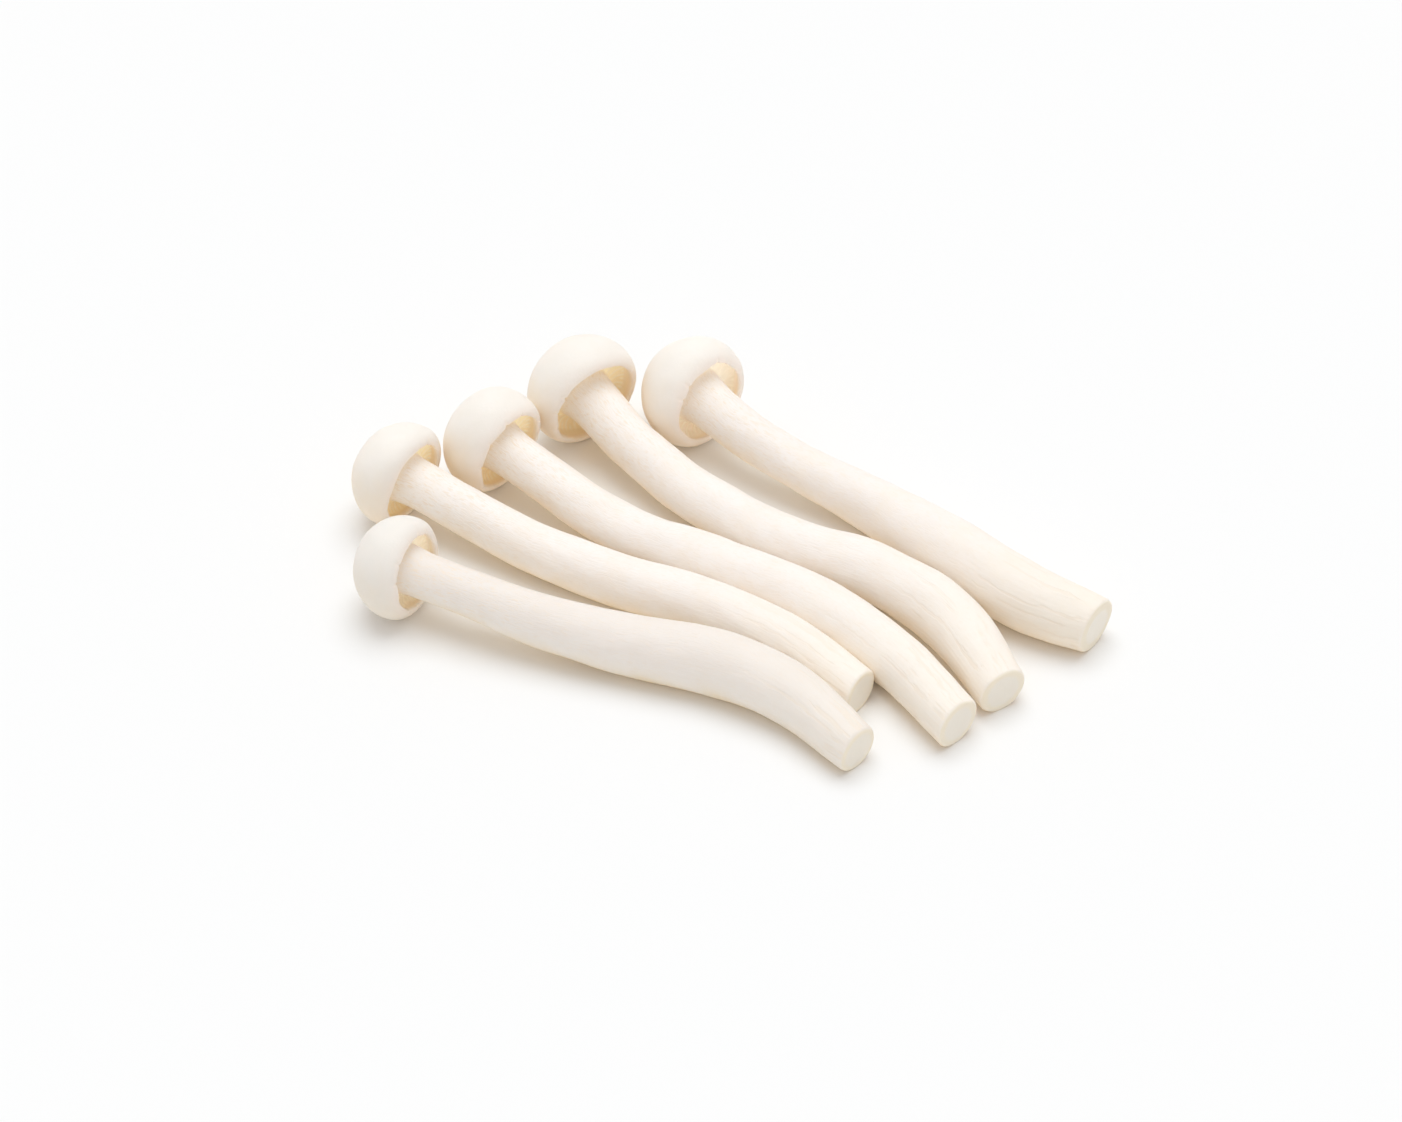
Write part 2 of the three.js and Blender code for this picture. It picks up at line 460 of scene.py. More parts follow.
# ---------------------------------------------------------------- growing


def cap_direction(cap):
    turn, dip = math.radians(cap["turn"]), math.radians(cap["dip"])
    return np.array([math.cos(turn) * math.cos(dip), math.sin(turn) * math.cos(dip), -math.sin(dip)])


def rest_height(cap, forward):
    """Height of the cap's middle, with its lowest part settled into the surface."""
    side = math.sqrt(1 - forward[2] ** 2)
    crest = cap["mouth"] + MARGIN_ROUND
    lowest = 0.0
    for angle in arc(REST_STEPS):
        behind = -cap["dome"] * math.cos(angle) * forward[2] - cap["radius"] * math.sin(angle) * side
        before = cap["brow"] * math.sin(angle) * forward[2]
        before -= (crest + (cap["radius"] - crest) * math.cos(angle)) * side
        lowest = min(lowest, behind, before)
    return -lowest - SETTLE


def bend(out, angle, up, stem, line, centre, forward):
    """Takes the straight mushroom's points to their places: the cap turned whole, the stem bent."""
    across = (out * np.cos(angle))[:, None]
    above = (out * np.sin(angle))[:, None]
    left, over = sideways(forward)
    whole = centre + across * left + above * over + up[:, None] * forward
    place, left, over, _ = line.frames(up)
    beyond = np.maximum(up - line.length, 0)[:, None]
    bent = place + across * left + above * over + beyond * line.way[-1]
    share = (stem * smooth(0, BEND_LENGTH, up))[:, None]
    return whole * (1 - share) + bent * share


def write_attribute(mesh, name, *columns):
    attribute = mesh.attributes.new(name, "FLOAT_VECTOR", "POINT")
    attribute.data.foreach_set("vector", np.stack(columns, 1).astype(np.float32).ravel())


def sheet_of_skin(name, around, along):
    """A flat grid one unit square, to be rolled up.

    Its two shares run round the mushroom and along its outline.
    """
    bm = bmesh.new()
    bmesh.ops.create_grid(bm, x_segments=around, y_segments=along, size=0.5)
    mesh = bpy.data.meshes.new(name)
    bm.to_mesh(mesh)
    bm.free()
    flat = np.zeros(len(mesh.vertices) * 3)
    mesh.vertices.foreach_get("co", flat)
    flat = flat.reshape(-1, 3) + 0.5
    return mesh, flat[:, 0], flat[:, 1]


def close_skin(mesh):
    """Joins the rolled sheet along its seam and at its two ends."""
    bm = bmesh.new()
    bm.from_mesh(mesh)
    bmesh.ops.remove_doubles(bm, verts=bm.verts, dist=JOIN_DISTANCE)
    bmesh.ops.recalc_face_normals(bm, faces=bm.faces)
    bm.to_mesh(mesh)
    bm.free()


def grow(name, row, settings):
    """One whole mushroom: rolled up straight, given its relief, then bent into its place."""
    cap = row["cap"]
    rng = np.random.default_rng(FIRST_SEED + list(MUSHROOMS).index(name))
    forward = cap_direction(cap)
    centre = np.array([*cap["at"], rest_height(cap, forward)])
    points = [centre] + [(x, y, lift + radius - SETTLE) for x, y, lift, radius in row["stem"]]
    line = CentreLine(points, [row["neck"]] + [radius for *_, radius in row["stem"]])
    section = straight_section(cap, row["neck"], line, row["gills_back"])
    rings = len(section["radius"])
    around = settings.gills * STEPS_A_GILL
    mesh, round_share, long_share = sheet_of_skin(name + "_flesh", around, rings - 1)
    angle = round_share * math.tau
    at = long_share * (rings - 1)
    ring = {column: np.interp(at, np.arange(rings), values) for column, values in section.items()}
    stem, cut, hollow, rim = (ring[column] for column in ("stem", "cut", "hollow", "rim"))

    # Gills
    gill = gill_share(rng, angle, ring["reach"], settings.gills) * (1 - stem)
    out = ring["radius"] * (1 - gill) + ring["edge_radius"] * gill
    up = ring["height"] * (1 - gill) + ring["edge_height"] * gill
    # The neck flares up one side and hardly elsewhere, and the gills go deeper below
    bare = smooth(*BARE_SIDE, -np.cos(angle - math.radians(FLARE_SIDE)))
    below = smooth(*LOWER_SIDE, -np.sin(angle))
    out = out - NECK_FLARE * BARE_SHARE * bare * ring["flare"]
    up = up - DEEPER_BELOW * below * np.sin(math.pi * ring["reach"]) * (1 - stem)
    # Cap: low swellings, and a mouth that is not quite round, with a few small nicks
    skin = (1 - stem) * (1 - smooth(0, SKIN_END, hollow)) * smooth(0, POLE_CALM, out)
    out = out + relief(rng, angle, up, skin, *CAP_SWELLINGS)
    out = out + relief(rng, angle, up, skin, *CAP_DENTS)
    mouth_wave = ripple(rng, angle, 0 * up, *MOUTH_WAVES)
    nicks = nick_share(rng, angle, settings.nicks)
    out = out + rim * (MOUTH_OUT * mouth_wave + NICK_OUT * nicks)
    up = up - rim * (MOUTH_BACK * mouth_wave + NICK_BACK * nicks)
    # Stem: slow swellings, and fine ridges along the fibres
    shaft = stem * (1 - cut) * smooth(0, NECK_CALM, up)
    out = out + relief(rng, angle, up, shaft, *STEM_SWELLINGS)
    out = out + relief(rng, angle, up, shaft, *STEM_DENTS)
    fibre = ripple(rng, angle, up, *FIBRE_RIDGES)
    toward_cut = smooth(TAIL_START, 1, up / line.length)
    ridges = shaft * (RIDGES_BEFORE + RIDGES_MORE * toward_cut)
    out = out + ridges * settings.fibre_depth / MM * fibre
    # Cut end: a face turned a little from square, which the knife left slightly wavy
    near_end = stem * smooth(line.length - CUT_SLANT_LENGTH, line.length - CUT_ROUND, up)
    up = up - near_end * out * np.cos(angle) * math.tan(math.radians(row["cut_turn"]))
    marks = relief(rng, angle, out * KNIFE_MARK_CROWDING, cut, *KNIFE_MARKS)
    up = up + marks * smooth(0, FACE_CALM, out)

    place = bend(out, angle, up, stem, line, centre, forward)
    place[:, 2] = np.maximum(place[:, 2], 0)
    mesh.vertices.foreach_set("co", (place * MM).ravel())
    write_attribute(mesh, "straight", out * np.cos(angle) * MM, out * np.sin(angle) * MM, up * MM)
    write_attribute(mesh, "zones", hollow, stem, cut)
    write_attribute(mesh, "marks", gill, smooth(TAIL_START, 1, up / line.length) * stem, rim)
    close_skin(mesh)
    mesh.polygons.foreach_set("use_smooth", [True] * len(mesh.polygons))
    mesh.update()
    piece = bpy.data.objects.new(name + "_grown", mesh)
    bpy.context.scene.collection.objects.link(piece)
    return piece


# ---------------------------------------------------------------- materials

# Fields of noise over the straight mushroom: how many to the metre, levels of detail, roughness
PATCHES = (170.0, 2.0)
MOTTLE = (700.0, 4.0, 0.65)
STREAKS = (6200.0, 1.0, 0.5)
BANDS = (1600.0, 3.0, 0.65)
GROOVES = (1300.0, 2.0)
SPECKLE = (1500.0, 3.0, 0.6)
PORES = (2600.0, 2.0)
# Those of the stem sway, by so many to the metre and so far in metres, and are then drawn out along it
SWAY = (260.0, 0.0012)
STREAK_STRETCH = (1.0, 1.0, 0.15)
BAND_STRETCH = (1.0, 1.0, 0.36)
GROOVE_STRETCH = (1.0, 1.0, 0.03)
NOISE_MIDDLE = (0.5, 0.5, 0.5)

# Soft steps, each from the value that counts as 0 to the value that counts as 1. Those of fields of noise
PATCH_STEP, MOTTLE_STEP = (0.4, 0.7), (0.42, 0.72)
STREAK_STEP, BAND_STEP, GROOVE_STEP = (0.48, 0.66), (0.3, 0.65), (0.56, 0.68)
# of places, in metres behind the widest ring, along the stem, and from the axis
DOME_SHADE_STEP, NECK_STEP, CORE_STEP = (0.001, 0.006), (0.003, 0.028), (0.0023, 0.0030)
# of how far the skin looks up, and how far it leans down, for the painted shades that follow them
LIT_TOP_DIMMING_STEP = (0.0, 0.85)
UNDERSIDE_SHADE_STEP, CONTACT_SHADOW_STEP, LOW_HOLLOW_SHADE_STEP = (-0.2, 0.9), (0.35, 0.95), (0.3, 1.0)
# and of how deep in the hollow and how far round the edge of the cut a place is
HOLLOW_STEP, LOW_HOLLOW_STEP, GILL_STEP, GLOW_STEP = (0.15, 0.8), (0.3, 0.9), (0.4, 0.7), (0.2, 0.8)
RING_STEP = (0.2, 0.9)

# How much of each colour is laid over those before it, and how much is added where the name says
PATCH_SHARE, MOTTLE_SHARE = 0.45, 0.4
CAP_SHARE, CAP_MOTTLE = 0.55, 0.3
DOME_SHADE_SHARE, TAIL_SHARE, CONTACT_SHADOW_SHARE = 0.65, 0.6, 0.72
UNDERSIDE_SHADE_SHARE, UNDERSIDE_SHADE_ON_STEM = 0.65, 0.35
FIBRE_SHARE, FIBRE_NEAR_CAP = 0.26, 0.54
GROOVE_SHARE = 0.36
LOW_HOLLOW_SHADE_SHARE, GILL_SHARE, LIP_HIGHLIGHT_SHARE = 0.3, 0.55, 0.8
CORE_SHARE = 0.9
TAIL_CALM = 0.5  # share of the fibres that the end of the tail lacks
LEAN_WANDER, LEAN_OF_CAP = 0.9, 0.42  # what the patches and the cap add to how far the skin leans down
AXIS_CALM, TINY = 0.00001, 1e-10  # in square metres, so that the direction round the axis fades at the pole
CORE_WANDER = 0.0006
GLOW_SHARE, GLOW_UPWARDS = 0.56, 0.44

# How much each field adds to the grain, in shares of its height
STREAK_GRAIN, STREAK_GRAIN_NEAR_CAP = 1.1, 0.9
BAND_GRAIN, GROOVE_GRAIN, SPECKLE_GRAIN = 0.5, 1.3, 0.8
MOTTLE_GRAIN, PORE_GRAIN = 1.6, 0.5
GRAIN_STRENGTH = 0.5

ROUGHNESS, ROUGHER = 0.5, 0.1  # of smooth flesh, and what the patches and the fibres each add
SHINE = 0.3
GLOW_REACH = (1.0, 0.7, 0.5)  # how far red, green and blue light go, in shares of the glow's depth
BLACK = (0.0, 0.0, 0.0, 1.0)


class Value:
    """A socket that sums, multiplies and compares as a number does, by adding Math nodes."""

    def __init__(self, tree, socket):
        self.tree = tree
        self.socket = socket

    def math(self, operation, *others, clamp=False):
        return self.tree.node("ShaderNodeMath", {"operation": operation, "use_clamp": clamp}, self, *others)

    def __add__(self, other):
        return self.math("ADD", other)

    def __sub__(self, other):
        return self.math("SUBTRACT", other)

    def __mul__(self, other):
        return self.math("MULTIPLY", other)

    def __truediv__(self, other):
        return self.math("DIVIDE", other)

    def __pow__(self, other):
        return self.math("POWER", other)

    def __radd__(self, other):
        return self + other

    def __rmul__(self, other):
        return self * other

    def __rsub__(self, other):
        return self.tree.node("ShaderNodeMath", {"operation": "SUBTRACT"}, other, self)

    def step(self, low, high):
        """A soft step from 0 at low to 1 at high."""
        settings = {"interpolation_type": "SMOOTHSTEP", "clamp": True}
        return self.tree.node("ShaderNodeMapRange", settings, self, low, high, 0.0, 1.0)


class Tree:
    """A material's nodes, made one call at a time."""

    def __init__(self, name):
        self.material = bpy.data.materials.new(name)
        self.material.use_nodes = True
        self.nodes = self.material.node_tree.nodes
        self.links = self.material.node_tree.links
        self.shader = self.nodes["Principled BSDF"]

    def node(self, kind, settings=None, *values, out=0, **named):
        node = self.nodes.new(kind)
        for key, value in (settings or {}).items():
            setattr(node, key, value)
        for key, value in [*enumerate(values), *named.items()]:
            self.feed(node.inputs[key], value)
        return Value(self, node.outputs[out])

    def feed(self, socket, value):
        if isinstance(value, Value):
            self.links.new(value.socket, socket)
        elif value is not None:
            socket.default_value = value

    def attribute(self, name):
        return self.node("ShaderNodeAttribute", {"attribute_name": name}, out="Vector")

    def parts(self, vector):
        node = self.nodes.new("ShaderNodeSeparateXYZ")
        self.links.new(vector.socket, node.inputs[0])
        return [Value(self, socket) for socket in node.outputs]

    def stretched(self, vector, scale):
        return self.node("ShaderNodeVectorMath", {"operation": "MULTIPLY"}, vector, scale)

    def noise(self, vector, scale, detail=3.0, roughness=0.55):
        return self.node(
            "ShaderNodeTexNoise",
            {"noise_dimensions": "3D"},
            Vector=vector,
            Scale=scale,
            Detail=detail,
            Roughness=roughness,
        )

    def wavy(self, vector, scale, sway):
        """The vector, swayed to and fro by a slow noise."""
        settings = {"noise_dimensions": "3D"}
        noise = self.node("ShaderNodeTexNoise", settings, out=1, Vector=vector, Scale=scale)
        centred = self.node("ShaderNodeVectorMath", {"operation": "SUBTRACT"}, noise, NOISE_MIDDLE)
        settings = {"operation": "MULTIPLY_ADD"}
        return self.node("ShaderNodeVectorMath", settings, centred, (sway, sway, sway), vector)

    def mix(self, share, first, second):
        """One colour over another."""
        node = self.nodes.new("ShaderNodeMix")
        node.data_type = "RGBA"
        for socket, value in ((node.inputs[0], share), (node.inputs[6], first), (node.inputs[7], second)):
            self.feed(socket, value)
        return Value(self, node.outputs[2])


def flesh_material(name, look, settings):
    tree = Tree(name)
    straight = tree.attribute("straight")
    hollow, stem, cut = tree.parts(tree.attribute("zones"))
    gill, tail, rim = tree.parts(tree.attribute("marks"))

    x, y, along = tree.parts(straight)
    from_axis = (x * x + y * y) ** 0.5

    # Broad, faint patches over the whole skin, a deeper colour on the cap and on the tail end of the stem,
    # painted shade on the back of the cap's dome and on the side that lies down, painted shade that dims
    # the stem's lit upper side, and the deepest painted shade, a contact shadow, along the line where it
    # touches the surface
    patches = tree.noise(straight, *PATCHES)
    mottle = tree.noise(straight, *MOTTLE)
    blotches = patches.step(*PATCH_STEP) * PATCH_SHARE + mottle.step(*MOTTLE_STEP) * MOTTLE_SHARE
    colour = tree.mix(blotches, look.skin, look.patch_and_dome_shade)
    rise = y / (x * x + y * y + AXIS_CALM * (1 - stem) + TINY) ** 0.5
    lean = patches * LEAN_WANDER - LEAN_WANDER / 2 - rise + (1 - stem) * LEAN_OF_CAP
    colour = tree.mix((1 - stem) * (CAP_SHARE + mottle * CAP_MOTTLE), colour, look.cap)
    # Painted shade over the back of the cap's dome, behind its widest ring
    dome = (along * -1.0).step(*DOME_SHADE_STEP)
    colour = tree.mix(dome * DOME_SHADE_SHARE, colour, look.patch_and_dome_shade)
    colour = tree.mix(tail * (1 - cut) * TAIL_SHARE, colour, look.tail)
    # Painted shade that dims the stem's lit upper side
    lit_top_dimming = rise.step(*LIT_TOP_DIMMING_STEP) * stem * (1 - cut)
    colour = tree.mix(lit_top_dimming, colour, tree.stretched(colour, look.lit_top_dimming[:3]))
    # Painted shade, deeper and warmer, on the side that lies down and on the cap's lower side
    underside_shade = lean.step(*UNDERSIDE_SHADE_STEP) * (UNDERSIDE_SHADE_SHARE + stem * UNDERSIDE_SHADE_ON_STEM)
    colour = tree.mix(underside_shade, colour, look.underside_shade)
    # Painted contact shadow along the line where the stem touches the surface
    colour = tree.mix(lean.step(*CONTACT_SHADOW_STEP) * stem * CONTACT_SHADOW_SHARE, colour, look.contact_shadow)
    # Fibres along the stem: short thin streaks, densest near the cap
    shaft = stem * (1 - cut)
    wavy = tree.wavy(straight, *SWAY)
    streaks = tree.noise(tree.stretched(wavy, STREAK_STRETCH), *STREAKS)
    bands = tree.noise(tree.stretched(wavy, BAND_STRETCH), *BANDS)
    near_cap = 1 - along.step(*NECK_STEP)
    fibres = streaks.step(*STREAK_STEP) * bands.step(*BAND_STEP) * shaft
    fibre_share = fibres * (FIBRE_SHARE + near_cap * FIBRE_NEAR_CAP) * (1 - tail * TAIL_CALM)
    colour = tree.mix(fibre_share, colour, look.fibre)
    # A few long grooves at the tail end of the stem
    grooves = tree.noise(tree.stretched(wavy, GROOVE_STRETCH), *GROOVES)
    grooves = grooves.step(*GROOVE_STEP) * tail * (1 - cut)
    colour = tree.mix(grooves * GROOVE_SHARE, colour, look.fibre)
    # The hollow and the gills. The hollow's gold is partly the gills' own cream and partly painted warm
    # bounce light
    colour = tree.mix(hollow.step(*HOLLOW_STEP), colour, look.hollow)
    # Painted shade in the lower part of the hollow
    low = lean.step(*LOW_HOLLOW_SHADE_STEP) * hollow.step(*LOW_HOLLOW_STEP)
    colour = tree.mix(low * LOW_HOLLOW_SHADE_SHARE, colour, look.underside_shade)
    colour = tree.mix(gill * hollow.step(*GILL_STEP) * GILL_SHARE, colour, look.gill)
    # Painted highlight: the rim of the mouth is painted back towards the paler skin colour
    colour = tree.mix(rim * (1 - stem) * LIP_HIGHLIGHT_SHARE, colour, look.skin)
    # Painted light: the hollow glows as if light came through the thin margin, more on its upper side
    painted_inner_light = hollow.step(*GLOW_STEP) * (GLOW_SHARE + GLOW_UPWARDS * rise)
    glow = tree.mix(painted_inner_light, BLACK, look.painted_inner_light)
    # The cut face: a thin yellow ring round a pale core
    colour = tree.mix(cut.step(*RING_STEP), colour, look.ring)
    speckle = tree.noise(straight, *SPECKLE)
    core = cut * (1 - (from_axis + speckle * CORE_WANDER).step(*CORE_STEP))
    colour = tree.mix(core * CORE_SHARE, colour, look.core)

    streak_grain = streaks * (STREAK_GRAIN + near_cap * STREAK_GRAIN_NEAR_CAP)
    grain = shaft * (streak_grain + bands * BAND_GRAIN) * (1 - tail * TAIL_CALM)
    grain = grain - grooves * GROOVE_GRAIN + speckle * cut * SPECKLE_GRAIN
    pores = tree.noise(straight, *PORES)
    grain = grain + (mottle * MOTTLE_GRAIN + pores * PORE_GRAIN) * (1 - stem) * (1 - hollow)
    height = settings.bump_height
    normal = tree.node("ShaderNodeBump", Strength=GRAIN_STRENGTH, Distance=height, Height=grain)
    tree.feed(tree.shader.inputs["Base Color"], colour)
    tree.feed(tree.shader.inputs["Roughness"], ROUGHNESS + patches * ROUGHER + fibres * ROUGHER)
    tree.feed(tree.shader.inputs["Emission Color"], glow)
    tree.shader.inputs["Emission Strength"].default_value = settings.inner_light_strength
    tree.feed(tree.shader.inputs["Normal"], normal)
    tree.shader.subsurface_method = "BURLEY"
    tree.shader.inputs["Subsurface Weight"].default_value = settings.glow
    tree.shader.inputs["Subsurface Radius"].default_value = GLOW_REACH
    tree.shader.inputs["Subsurface Scale"].default_value = settings.glow_depth
    tree.shader.inputs["Specular IOR Level"].default_value = SHINE
    return tree.material


# ---------------------------------------------------------------- settings


def colour_property(name, description, default):
    return bpy.props.FloatVectorProperty(
        name=name,
        description=description,
        default=(*default, 1.0),
        size=4,
        subtype="COLOR",
        min=0.0,
        max=1.0,
    )


class Look:
    """The colours that the mushrooms share, unless a finish has its own."""

    fibre: colour_property("Fibres", "Colour of the fine streaks along the stem", (0.90, 0.78, 0.64))
    # Painted contact shadow along the line where the stem lies on
    contact_shadow: colour_property("Contact", "Colour of the line where the stem lies on", (0.90, 0.74, 0.49))
    # Painted shade that dims the stem's lit upper side
    lit_top_dimming: colour_property("Crown", "Tint of the upper side of the stem", (0.99, 0.982, 0.99))
    gill: colour_property("Gills", "Colour of the gills' edges", (0.985, 0.935, 0.81))
    # Colour of the hollow's painted glow
    painted_inner_light: colour_property("Inner light", "Light that comes through the margin", (1.0, 0.89, 0.68))
    ring: colour_property("Ring", "Colour of the outer ring of the cut face", (0.92, 0.845, 0.70))
    core: colour_property("Core", "Colour of the middle of the cut face", (0.91, 0.86, 0.77))


class MUSHROOM_PG_white(Look, bpy.types.PropertyGroup):
    skin: colour_property("Skin", "Colour of the cap and the stem", (0.91, 0.86, 0.803))
    cap: colour_property("Cap", "Deeper colour of the cap", (0.89, 0.855, 0.80))
    patch_and_dome_shade: colour_property("Patches", "Colour of the faint patches on the skin", (0.895, 0.835, 0.765))
    # Underside: painted shade on the side that lies down
    underside_shade: colour_property("Underside", "Colour of the side that lies down", (0.88, 0.79, 0.65))
    tail: colour_property("Tail", "Colour of the stem near its cut end", (0.92, 0.87, 0.79))
    hollow: colour_property("Hollow", "Colour between the gills", (0.955, 0.90, 0.765))
    # Painted shade that dims the stem's lit upper side
    lit_top_dimming: colour_property("Crown", "Tint of the upper side of the stem", (0.969, 0.951, 0.951))


class MUSHROOM_PG_cream(Look, bpy.types.PropertyGroup):
    skin: colour_property("Skin", "Colour of the cap and the stem", (0.965, 0.915, 0.86))
    cap: colour_property("Cap", "Deeper colour of the cap", (0.915, 0.87, 0.805))
    patch_and_dome_shade: colour_property("Patches", "Colour of the faint patches on the skin", (0.955, 0.88, 0.79))
    # Underside: painted shade on the side that lies down
    underside_shade: colour_property("Underside", "Colour of the side that lies down", (0.95, 0.805, 0.60))
    tail: colour_property("Tail", "Colour of the stem near its cut end", (0.955, 0.89, 0.78))
    hollow: colour_property("Hollow", "Colour between the gills", (0.96, 0.862, 0.60))


class MUSHROOM_PG_ivory(Look, bpy.types.PropertyGroup):
    skin: colour_property("Skin", "Colour of the cap and the stem", (0.955, 0.90, 0.845))
    cap: colour_property("Cap", "Deeper colour of the cap", (0.94, 0.895, 0.83))
    patch_and_dome_shade: colour_property("Patches", "Colour of the faint patches on the skin", (0.955, 0.88, 0.78))
    underside_shade: colour_property("Underside", "Colour of the side that lies down", (0.96, 0.84, 0.68))
    # Underside: painted shade on the side that lies down
    tail: colour_property("Tail", "Colour of the stem near its cut end", (0.955, 0.885, 0.76))
    hollow: colour_property("Hollow", "Colour between the gills", (0.965, 0.91, 0.80))
    core: colour_property("Core", "Colour of the middle of the cut face", (0.94, 0.89, 0.80))


class MUSHROOM_PG_settings(bpy.types.PropertyGroup):
    gills: bpy.props.IntProperty(
        name="Gills",
        description="Number of gills in each cap, half of them short",
        default=48,
        min=12,
        max=60,
    )
    nicks: bpy.props.IntProperty(
        name="Nicks",
        description="Number of small nicks in the rim of each cap's mouth",
        default=9,
        min=0,
        max=30,
    )
    fibre_depth: bpy.props.FloatProperty(
        name="Fibre depth",
        description="Height of the fine ridges along the stem",
        default=0.012 * MM,
        subtype="DISTANCE",
        unit="LENGTH",
        precision=6,
    )
    bump_height: bpy.props.FloatProperty(
        name="Grain height",
        description="Height of the finest grain of the skin",
        default=0.06 * MM,
        subtype="DISTANCE",
        unit="LENGTH",
        precision=6,
    )
    glow: bpy.props.FloatProperty(
        name="Glow",
        description="How much light passes through the flesh",
        default=0.4,
        subtype="FACTOR",
        min=0.0,
        max=1.0,
    )
    glow_depth: bpy.props.FloatProperty(
        name="Glow depth",
        description="How far light travels inside the flesh",
        default=1.5 * MM,
        subtype="DISTANCE",
        unit="LENGTH",
        precision=5,
    )
    # Strength of the hollow's painted glow
    inner_light_strength: bpy.props.FloatProperty(
        name="Inner light",
        description="How much light comes through the margin into the hollow",
        default=0.19,
        min=0.0,
    )
    white: bpy.props.PointerProperty(type=MUSHROOM_PG_white)
    cream: bpy.props.PointerProperty(type=MUSHROOM_PG_cream)
    ivory: bpy.props.PointerProperty(type=MUSHROOM_PG_ivory)


def look_for(slot, settings):
    looks = {
        "white_flesh": settings.white,
        "cream_flesh": settings.cream,
        "ivory_flesh": settings.ivory,
    }
    return looks[slot]


class MUSHROOM_PG_stage(bpy.types.PropertyGroup):
    key_strength: bpy.props.FloatProperty(
        name="Key light",
        description="Strength of the large soft light above and behind the bunch",
        default=1.46,
        min=0.0,
    )
    key_turn: bpy.props.FloatProperty(
        name="Key turn",
        description="Direction that the key light comes from, seen from above",
        default=math.radians(120),
        subtype="ANGLE",
        unit="ROTATION",
    )
    key_rise: bpy.props.FloatProperty(
        name="Key rise",
        description="Height of the key light above the horizon",
        default=math.radians(77),
        subtype="ANGLE",
        unit="ROTATION",
    )
    key_spread: bpy.props.FloatProperty(
        name="Key spread",
        description="How wide the key light looks from the bunch; a wider light casts softer shadows",
        default=math.radians(50),
        subtype="ANGLE",
        unit="ROTATION",
    )
    light_bounces: bpy.props.IntProperty(
        name="Light bounces",
        description="How often light is followed from one pale surface to the next",
        default=10,
        min=1,
        max=64,
    )
    sky_strength: bpy.props.FloatProperty(
        name="Surround",
        description="Brightness of the pale surround",
        default=0.68,
        min=0.0,
    )
    sky_colour: colour_property("Surround colour", "Tint of the pale surround", (1.0, 0.97, 0.95))
    key_colour: colour_property("Key colour", "Tint of the key light", (0.92, 0.97, 1.0))
    floor_colour: colour_property("Floor", "Colour of the floor", (0.90, 0.90, 0.90))


# ---------------------------------------------------------------- operators


class MUSHROOM_OT_grow(bpy.types.Operator):
    """Grow the five mushrooms, each a whole body with its cap, gills, stem and cut end"""

    bl_idname = "mushroom.grow"
    bl_label = "Grow the bunch"

    def execute(self, context):
        settings = context.scene.mushroom_settings
        for name, row in MUSHROOMS.items():
            piece = grow(name, row, settings)
            look = look_for(row["slot"], settings)
            piece.data.materials.append(flesh_material(name + "_skin", look, settings))
            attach(piece, "root")
            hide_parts(name)
        return {"FINISHED"}


# The camera stands off the middle of the bunch, turned to look along the fan from its right
CAMERA_TURN = 37.5
CAMERA_RISE = 40.0
CAMERA_DISTANCE = 505.8
CAMERA_LENS = 100.0
CAMERA_AIM = (-3.65, 4.6, 0.0)

CAMERA_CLIP = 0.01  # in metres

FLOOR_SIZE = 6000.0
FLOOR_ROUGHNESS = 0.9
FLOOR_SHINE = 0.1


def direction(turn, rise):
    """The way to a place that is seen at this turn from +X, at this rise above the horizon."""
    level = math.cos(rise)
    return Vector((level * math.cos(turn), level * math.sin(turn), math.sin(rise)))


def aim(thing, target):
    way = Vector(target) - thing.location
    thing.rotation_euler = way.to_track_quat("-Z", "Y").to_euler()


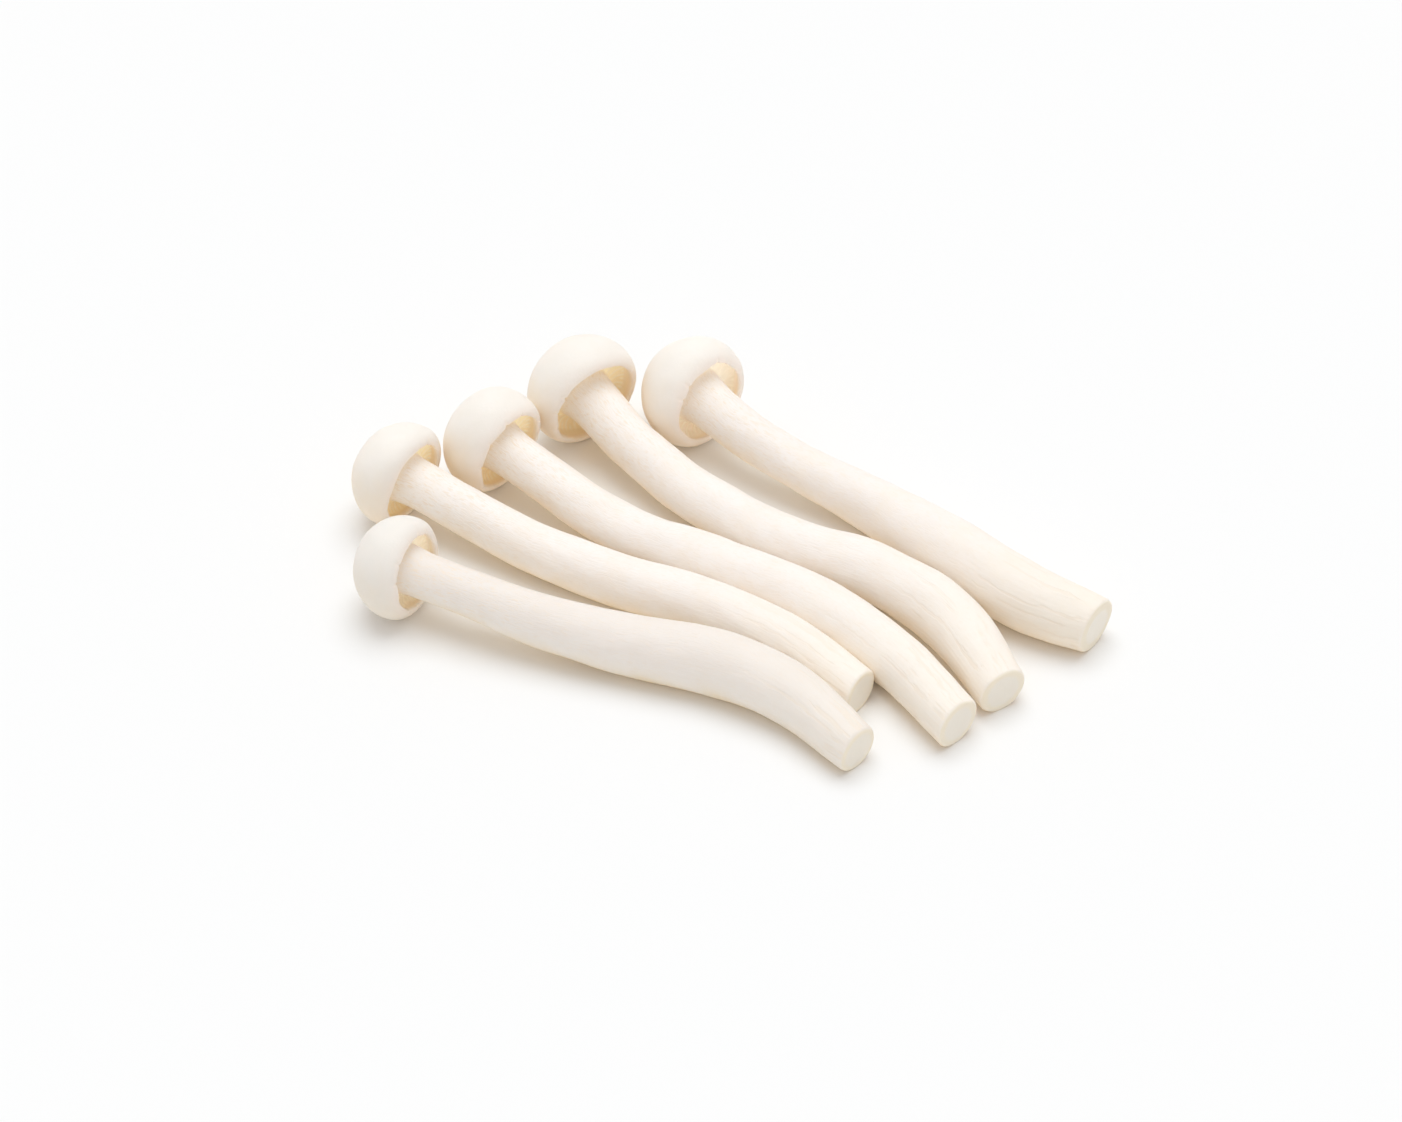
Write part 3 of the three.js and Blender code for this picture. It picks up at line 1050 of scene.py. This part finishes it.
class MUSHROOM_OT_stage(bpy.types.Operator):
    """Lay the pale floor and set the camera and the soft lights"""

    bl_idname = "mushroom.stage"
    bl_label = "Set the stage"

    def execute(self, context):
        stage = context.scene.mushroom_stage
        self.floor(stage)
        self.surround(context.scene, stage)
        self.key_light(context.scene, stage)
        self.camera(context.scene)
        context.scene.view_settings.view_transform = "Standard"
        return {"FINISHED"}

    def floor(self, stage):
        bm = bmesh.new()
        bmesh.ops.create_grid(bm, x_segments=1, y_segments=1, size=FLOOR_SIZE / 2 * MM)
        mesh = bpy.data.meshes.new("floor")
        bm.to_mesh(mesh)
        bm.free()
        floor = bpy.data.objects.new("floor", mesh)
        bpy.context.scene.collection.objects.link(floor)
        tree = Tree("floor")
        tree.shader.inputs["Base Color"].default_value = stage.floor_colour
        tree.shader.inputs["Roughness"].default_value = FLOOR_ROUGHNESS
        tree.shader.inputs["Specular IOR Level"].default_value = FLOOR_SHINE
        mesh.materials.append(tree.material)

    def surround(self, scene, stage):
        world = bpy.data.worlds.new("surround")
        world.use_nodes = True
        background = world.node_tree.nodes["Background"]
        background.inputs["Color"].default_value = stage.sky_colour
        background.inputs["Strength"].default_value = stage.sky_strength
        scene.world = world

    def key_light(self, scene, stage):
        light = bpy.data.lights.new("key", "SUN")
        light.energy = stage.key_strength
        light.angle = stage.key_spread
        light.color = stage.key_colour[:3]
        lamp = bpy.data.objects.new("key", light)
        lamp.location = direction(stage.key_turn, stage.key_rise)
        aim(lamp, (0, 0, 0))
        scene.collection.objects.link(lamp)
        scene.cycles.max_bounces = stage.light_bounces
        scene.cycles.diffuse_bounces = stage.light_bounces

    def camera(self, scene):
        turn = math.radians(CAMERA_TURN)
        rise = math.radians(CAMERA_RISE)
        back = Vector((math.sin(turn) * math.cos(rise), -math.cos(turn) * math.cos(rise), math.sin(rise)))
        lens = bpy.data.cameras.new("camera")
        lens.lens = CAMERA_LENS
        lens.clip_start = CAMERA_CLIP
        camera = bpy.data.objects.new("camera", lens)
        target = Vector(CAMERA_AIM) * MM
        camera.location = target + back * CAMERA_DISTANCE * MM
        aim(camera, target)
        scene.collection.objects.link(camera)
        scene.camera = camera


class MUSHROOM_PT_panel(bpy.types.Panel):
    bl_idname = "MUSHROOM_PT_panel"
    bl_label = "Mushroom bunch"
    bl_space_type = "VIEW_3D"
    bl_region_type = "UI"
    bl_category = "Mushrooms"

    def draw(self, context):
        layout = self.layout
        for operator in OPERATORS:
            layout.operator(operator.bl_idname)
        for group in (context.scene.mushroom_settings, context.scene.mushroom_stage):
            for key in group.bl_rna.properties.keys():
                if key not in ("rna_type", "name"):
                    layout.prop(group, key)


OPERATORS = (MUSHROOM_OT_grow, MUSHROOM_OT_stage)
CLASSES = (
    MUSHROOM_PG_white,
    MUSHROOM_PG_cream,
    MUSHROOM_PG_ivory,
    MUSHROOM_PG_settings,
    MUSHROOM_PG_stage,
    *OPERATORS,
    MUSHROOM_PT_panel,
)


def register():
    for each in CLASSES:
        bpy.utils.register_class(each)
    bpy.types.Scene.mushroom_settings = bpy.props.PointerProperty(type=MUSHROOM_PG_settings)
    bpy.types.Scene.mushroom_stage = bpy.props.PointerProperty(type=MUSHROOM_PG_stage)


def unregister():
    del bpy.types.Scene.mushroom_stage
    del bpy.types.Scene.mushroom_settings
    for each in reversed(CLASSES):
        bpy.utils.unregister_class(each)


def main():
    register()
    bpy.ops.mushroom.grow()
    bpy.ops.mushroom.stage()


if __name__ == "__main__":
    main()
